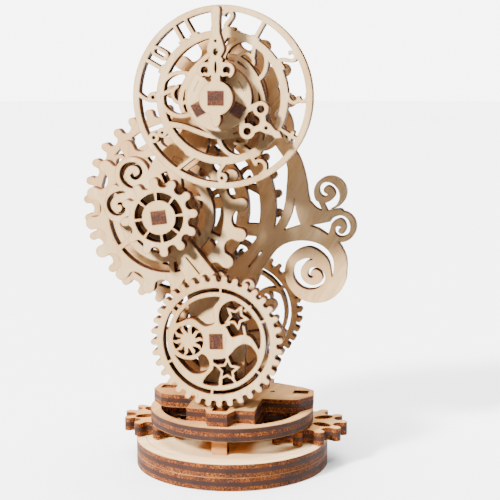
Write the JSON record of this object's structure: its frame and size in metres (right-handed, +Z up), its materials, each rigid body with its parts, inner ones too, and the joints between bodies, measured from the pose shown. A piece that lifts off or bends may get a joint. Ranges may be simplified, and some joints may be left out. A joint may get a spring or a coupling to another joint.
{
  "type": "wooden mechanical clock puzzle",
  "caption": "Toy clock cut from thin plywood: an open dial with two hands, scrolled plates and meshing gears on a turning platform above a round base.",
  "frame": {"origin": "centre of the base's underside", "axes": "+X to the right and +Y to the back as the dial is looked at from the front, +Z up"},
  "size_m": [0.0652, 0.0465, 0.1037],
  "materials": {
    "pale_birch": "bare",
    "warm_birch": "bare",
    "stick_birch": "bare"
  },
  "bodies": {
    "base": {"base_bottom_disc": "warm_birch", "base_top_disc": "warm_birch", "sun_gear": "warm_birch", "pivot_stick": "stick_birch", "pivot_washer": "warm_birch"},
    "platform": {"turntable_ring": "warm_birch", "turntable_bracket": "warm_birch", "front_post": "stick_birch", "rear_post": "stick_birch", "left_gear_pin": "stick_birch", "right_gear_pin": "stick_birch", "front_plate": "pale_birch", "rear_plate": "warm_birch", "back_plate": "warm_birch", "dial": "pale_birch", "dial_spacer": "warm_birch", "plate_peg": "stick_birch"},
    "left_roller": {"left_base_gear": "warm_birch"},
    "right_roller": {"right_base_gear": "warm_birch"},
    "left_arbor": {"left_axle": "stick_birch", "small_front_gear": "pale_birch", "finger_gear": "warm_birch", "large_gear": "warm_birch", "left_washers": "warm_birch", "left_end_cap": "warm_birch"},
    "minute_arbor": {"minute_axle": "stick_birch", "minute_hand": "pale_birch", "minute_pinion": "warm_birch", "minute_washers": "warm_birch", "minute_end_cap": "warm_birch"},
    "hour_sleeve": {"hour_hand": "pale_birch", "hour_sticks": "stick_birch", "hour_collar": "warm_birch", "hour_gear": "warm_birch"},
    "lower_arbor": {"lower_axle": "stick_birch", "moon_gear": "pale_birch", "lower_pinion": "warm_birch", "lower_washers": "warm_birch", "rear_washers": "warm_birch", "rear_wheel": "warm_birch"}
  },
  "joints": [
    {"name": "platform_turn", "type": "hinge", "parent": "base", "child": "platform", "pos_m": [0, 0, 0.01], "axis": [0, 0, 1], "continuous": true},
    {"name": "left_roller_turn", "type": "hinge", "parent": "platform", "child": "left_roller", "pos_m": [-0.01571, 0.00305, 0.006], "axis": [0, 0, 1], "continuous": true},
    {"name": "right_roller_turn", "type": "hinge", "parent": "platform", "child": "right_roller", "pos_m": [0.01571, 0.00305, 0.006], "axis": [0, 0, 1], "continuous": true},
    {"name": "left_arbor_turn", "type": "hinge", "parent": "platform", "child": "left_arbor", "pos_m": [-0.0135, 0, 0.0584], "axis": [0, 1, 0], "continuous": true},
    {"name": "minute_turn", "type": "hinge", "parent": "platform", "child": "minute_arbor", "pos_m": [0.00111, 0, 0.08449], "axis": [0, 1, 0], "continuous": true},
    {"name": "hour_turn", "type": "hinge", "parent": "platform", "child": "hour_sleeve", "pos_m": [0.00111, 0, 0.08449], "axis": [0, 1, 0], "continuous": true},
    {"name": "lower_arbor_turn", "type": "hinge", "parent": "platform", "child": "lower_arbor", "pos_m": [-0.00086, 0, 0.0313], "axis": [0, 1, 0], "continuous": true}
  ],
  "couplings": [
    {"joint": "left_roller_turn", "follows": "platform_turn", "ratio": 0.66667},
    {"joint": "right_roller_turn", "follows": "platform_turn", "ratio": 0.66667},
    {"joint": "minute_turn", "follows": "left_arbor_turn", "ratio": -3.2},
    {"joint": "hour_turn", "follows": "left_arbor_turn", "ratio": -1.3333},
    {"joint": "lower_arbor_turn", "follows": "left_arbor_turn", "ratio": -1.3333}
  ]
}
